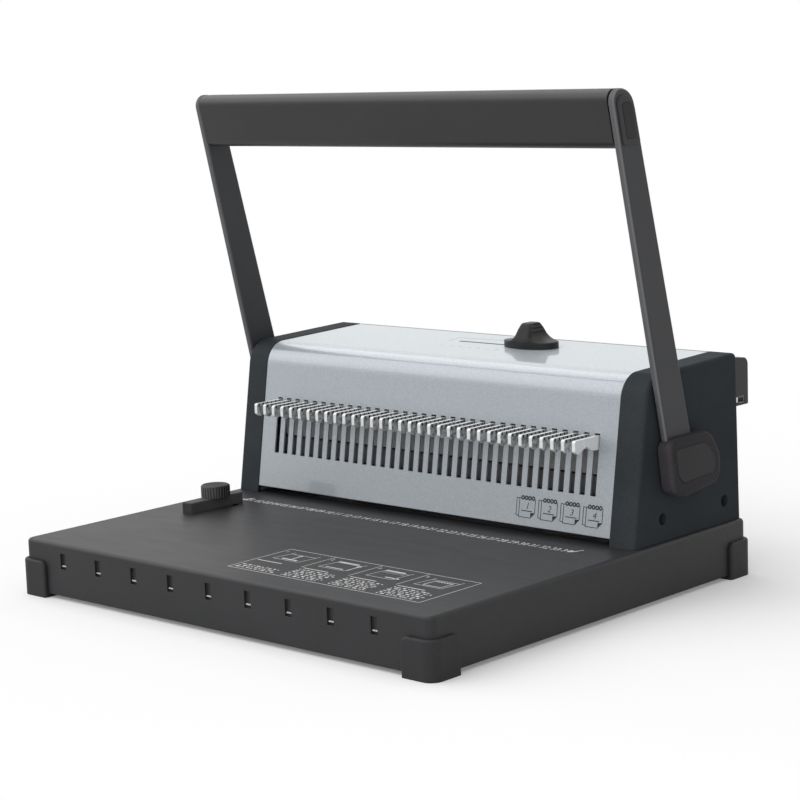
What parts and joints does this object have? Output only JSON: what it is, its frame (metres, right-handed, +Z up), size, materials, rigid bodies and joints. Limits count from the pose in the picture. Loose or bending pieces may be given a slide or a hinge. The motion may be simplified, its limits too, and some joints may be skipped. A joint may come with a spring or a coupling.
{
  "type": "wire binding machine",
  "caption": "Desk wire binding machine: hand lever punch for a row of holes, hook comb for the wire, size slider and a rear wire closer, on a flat tray with an edge guide.",
  "frame": {"origin": "middle of the base's footprint, on the plane of the feet's undersides", "axes": "+X to the user's right along the row of holes, +Y to the back, +Z up"},
  "size_m": [0.3714, 0.3233, 0.317],
  "materials": {
    "shell": "fine moulded grain, dark grey",
    "cheek_plastic": "fine moulded grain, blackish grey",
    "black_steel": "blackened steel",
    "deck_plastic": "smooth dark grey",
    "feet": "matt dark grey",
    "silver_sheet": "silver grey lacquer with a fine sparkle",
    "handle_grip": "fine moulded grain, dark grey",
    "handle_arm": "dark grey powder coat",
    "knob_plastic": "near black, satin",
    "badge": "dark grey, smooth",
    "hook_plastic": "light grey, satin",
    "carrier": "dark grey",
    "bare_steel": "ground steel",
    "tool_steel": "hardened and darkened, ground",
    "zinc": "zinc plated",
    "drawer_plastic": "moulded, dark grey"
  },
  "bodies": {
    "frame": {"base_shell": "shell", "corner_feet": "feet", "keeper_tabs": "bare_steel", "bottom_plate": "zinc", "bottom_screws": "zinc", "right_cheek": "cheek_plastic", "left_cheek": "cheek_plastic", "cheek_screws": "zinc", "front_cover": "silver_sheet", "rear_cover": "carrier", "right_side_frame": "zinc", "left_side_frame": "zinc", "tie_rods": "zinc", "frame_bolts": "zinc", "die_plate": "tool_steel", "depth_stop": "bare_steel", "punch_guide_plate": "tool_steel", "clamp_bolts": "zinc", "guide_posts": "tool_steel", "shaft_bushings": "bare_steel", "hook_carrier": "carrier", "binding_hooks": "hook_plastic", "slider_bracket": "zinc", "jaw_rails": "zinc", "closer_hood": "shell", "hood_screws": "zinc", "right_closer_cap": "handle_grip", "left_closer_cap": "handle_grip", "closer_anvil": "bare_steel", "drawer_rails": "drawer_plastic", "return_springs": "bare_steel"},
    "handle": {"punch_cams": "tool_steel", "closer_cams": "tool_steel", "cam_pins": "tool_steel", "pivot_shaft": "tool_steel", "right_arm": "handle_arm", "left_arm": "handle_arm", "grip_bar": "handle_grip", "grip_rod": "bare_steel", "grip_screws": "zinc", "right_grip_cap": "handle_grip", "left_grip_cap": "handle_grip", "grip_badges": "badge", "right_pivot_cover": "handle_grip", "left_pivot_cover": "handle_grip", "right_pivot_cap": "badge", "left_pivot_cap": "badge", "pivot_screws": "zinc"},
    "punch": {"punch_beam": "black_steel", "punch_pins": "tool_steel"},
    "jaw": {"closer_jaw": "bare_steel", "jaw_followers": "bare_steel"},
    "slider": {"slider_carriage": "knob_plastic", "slider_knob": "knob_plastic"},
    "stop": {"size_stop": "zinc"},
    "guide": {"edge_guide": "deck_plastic", "guide_nut": "zinc", "guide_stud": "zinc"},
    "clamp": {"guide_knob": "knob_plastic"},
    "drawer": {"chip_drawer": "drawer_plastic"}
  },
  "joints": [
    {"name": "handle_swing", "type": "hinge", "parent": "frame", "child": "handle", "pos_m": [0, 0.089, 0.0855], "axis": [1, 0, 0], "range_deg": [0, 75], "stiffness_Nm_per_rad": 2.2, "springref_deg": -25.78},
    {"name": "punch_slide", "type": "slide", "parent": "frame", "child": "punch", "axis": [0, 0, -1], "range_m": [0, 0.012], "deforming": ["return_springs"]},
    {"name": "jaw_slide", "type": "slide", "parent": "frame", "child": "jaw", "axis": [0, 1, 0], "range_m": [0, 0.006]},
    {"name": "size_slide", "type": "slide", "parent": "frame", "child": "slider", "axis": [1, 0, 0], "range_m": [-0.054, 0.003]},
    {"name": "stop_slide", "type": "slide", "parent": "frame", "child": "stop", "axis": [0, 1, 0], "range_m": [-0.0003, 0.0049]},
    {"name": "guide_slide", "type": "slide", "parent": "frame", "child": "guide", "axis": [1, 0, 0], "range_m": [-0.01, 0]},
    {"name": "clamp_turn", "type": "hinge", "parent": "guide", "child": "clamp", "pos_m": [-0.1434, -0.015, 0.0445], "axis": [0, 0, 1], "range_deg": [0, 120]},
    {"name": "drawer_slide", "type": "slide", "parent": "frame", "child": "drawer", "axis": [-1, 0, 0], "range_m": [0, 0.2]}
  ],
  "couplings": [
    {"joint": "punch_slide", "follows": "handle_swing", "m_per_rad": 0.009167},
    {"joint": "jaw_slide", "follows": "handle_swing", "m_per_rad": 0.004583},
    {"joint": "stop_slide", "follows": "size_slide", "ratio": -0.09}
  ]
}
